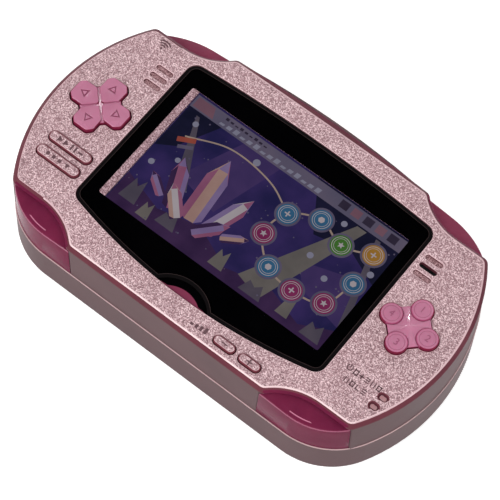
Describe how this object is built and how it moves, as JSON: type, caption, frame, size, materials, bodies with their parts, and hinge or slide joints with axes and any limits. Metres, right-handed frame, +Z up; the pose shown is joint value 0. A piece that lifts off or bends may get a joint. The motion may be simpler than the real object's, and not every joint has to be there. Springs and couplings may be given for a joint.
{
  "type": "handheld game console",
  "caption": "Wide handheld game console with a landscape screen, a cross pad, round face buttons, long keys and shoulder buttons in notched corners.",
  "frame": {"origin": "centre of the case's outline on its flat base", "axes": "+Z up out of the screen, +X to the right along the long side, +Y to the far long edge"},
  "size_m": [0.173, 0.0992, 0.0395],
  "materials": {
    "glitter_face": "glitter coat",
    "case_mauve": "satin metallic coat",
    "clear_magenta": "translucent gloss",
    "clear_pink": "translucent gloss",
    "black_glass": "gloss, black print with a clear window",
    "display": "lit display",
    "black_rubber": "matte foam",
    "grey_rubber": "matte silicone",
    "ribbon_film": "amber film",
    "black_plastic": "matte",
    "board_green": "solder mask",
    "steel": "bright",
    "battery_wrap": "film wrap",
    "brass": "bright",
    "lamp_white": "clear"
  },
  "bodies": {
    "case": {"faceplate": "glitter_face", "middle_frame": "case_mauve", "rear_cover": "case_mauve", "battery_cover": "case_mauve", "screen_lens": "black_glass", "left_corner_trim": "clear_magenta", "right_corner_trim": "clear_magenta", "face_button_web": "clear_pink", "headphone_jack": "black_plastic", "display_gasket": "black_rubber", "display_panel": "display", "display_cushion": "black_rubber", "display_ribbon": "ribbon_film", "ribbon_connector": "black_plastic", "dpad_membrane": "grey_rubber", "face_button_membrane": "grey_rubber", "menu_membrane": "grey_rubber", "volume_membrane": "grey_rubber", "left_shoulder_pin": "steel", "right_shoulder_pin": "steel", "left_shoulder_switch": "black_plastic", "right_shoulder_switch": "black_plastic", "main_board": "board_green", "board_screws": "steel", "processor_shield": "steel", "memory_chips": "black_plastic", "battery_pack": "battery_wrap", "battery_contacts": "brass", "speaker": "black_plastic", "speaker_contacts": "brass", "indicator_windows": "clear_magenta", "indicator_leds": "lamp_white", "power_switch_base": "black_plastic", "case_screws": "steel", "battery_cover_screw": "steel", "usb_port": "steel", "card_slot": "steel"},
    "dpad_ball": {"dpad_pivot": "black_plastic"},
    "dpad": {"dpad": "clear_pink"},
    "face_button_1": {"face_button_1": "clear_pink"},
    "face_button_2": {"face_button_2": "clear_pink"},
    "face_button_3": {"face_button_3": "clear_pink"},
    "face_button_4": {"face_button_4": "clear_pink"},
    "start_button": {"start_button": "glitter_face"},
    "select_button": {"select_button": "glitter_face"},
    "volume_down_button": {"volume_down_button": "glitter_face"},
    "volume_up_button": {"volume_up_button": "glitter_face"},
    "left_shoulder_button": {"left_shoulder_button": "clear_magenta"},
    "right_shoulder_button": {"right_shoulder_button": "clear_magenta"},
    "power_knob": {"power_switch_knob": "case_mauve"}
  },
  "joints": [
    {"name": "dpad_tilt_up_down", "type": "hinge", "parent": "case", "child": "dpad_ball", "pos_m": [-0.0678, 0.0008, 0.034], "axis": [1, 0, 0], "range_deg": [-3, 3], "stiffness_Nm_per_rad": 0.12},
    {"name": "dpad_tilt_left_right", "type": "hinge", "parent": "dpad_ball", "child": "dpad", "pos_m": [-0.0678, 0.0008, 0.034], "axis": [0, 1, 0], "range_deg": [-3, 3], "stiffness_Nm_per_rad": 0.12},
    {"name": "face_button_1_press", "type": "slide", "parent": "case", "child": "face_button_1", "axis": [0, 0, -1], "range_m": [0, 0.001], "stiffness_N_per_m": 1200},
    {"name": "face_button_2_press", "type": "slide", "parent": "case", "child": "face_button_2", "axis": [0, 0, -1], "range_m": [0, 0.001], "stiffness_N_per_m": 1200},
    {"name": "face_button_3_press", "type": "slide", "parent": "case", "child": "face_button_3", "axis": [0, 0, -1], "range_m": [0, 0.001], "stiffness_N_per_m": 1200},
    {"name": "face_button_4_press", "type": "slide", "parent": "case", "child": "face_button_4", "axis": [0, 0, -1], "range_m": [0, 0.001], "stiffness_N_per_m": 1200},
    {"name": "start_button_press", "type": "slide", "parent": "case", "child": "start_button", "axis": [0, 0, -1], "range_m": [0, 0.0007], "stiffness_N_per_m": 1200},
    {"name": "select_button_press", "type": "slide", "parent": "case", "child": "select_button", "axis": [0, 0, -1], "range_m": [0, 0.0007], "stiffness_N_per_m": 1200},
    {"name": "volume_down_button_press", "type": "slide", "parent": "case", "child": "volume_down_button", "axis": [0, 0, -1], "range_m": [0, 0.0007], "stiffness_N_per_m": 1200},
    {"name": "volume_up_button_press", "type": "slide", "parent": "case", "child": "volume_up_button", "axis": [0, 0, -1], "range_m": [0, 0.0007], "stiffness_N_per_m": 1200},
    {"name": "left_shoulder_turn", "type": "hinge", "parent": "case", "child": "left_shoulder_button", "pos_m": [-0.0472, 0.0431, 0.026], "axis": [0, 0, 1], "range_deg": [0, 1.6], "stiffness_Nm_per_rad": 1},
    {"name": "right_shoulder_turn", "type": "hinge", "parent": "case", "child": "right_shoulder_button", "pos_m": [0.0472, 0.0431, 0.026], "axis": [0, 0, -1], "range_deg": [0, 1.6], "stiffness_Nm_per_rad": 1},
    {"name": "power_switch_slide", "type": "slide", "parent": "case", "child": "power_knob", "axis": [1, 0, 0], "range_m": [-0.0015, 0.0015]}
  ]
}
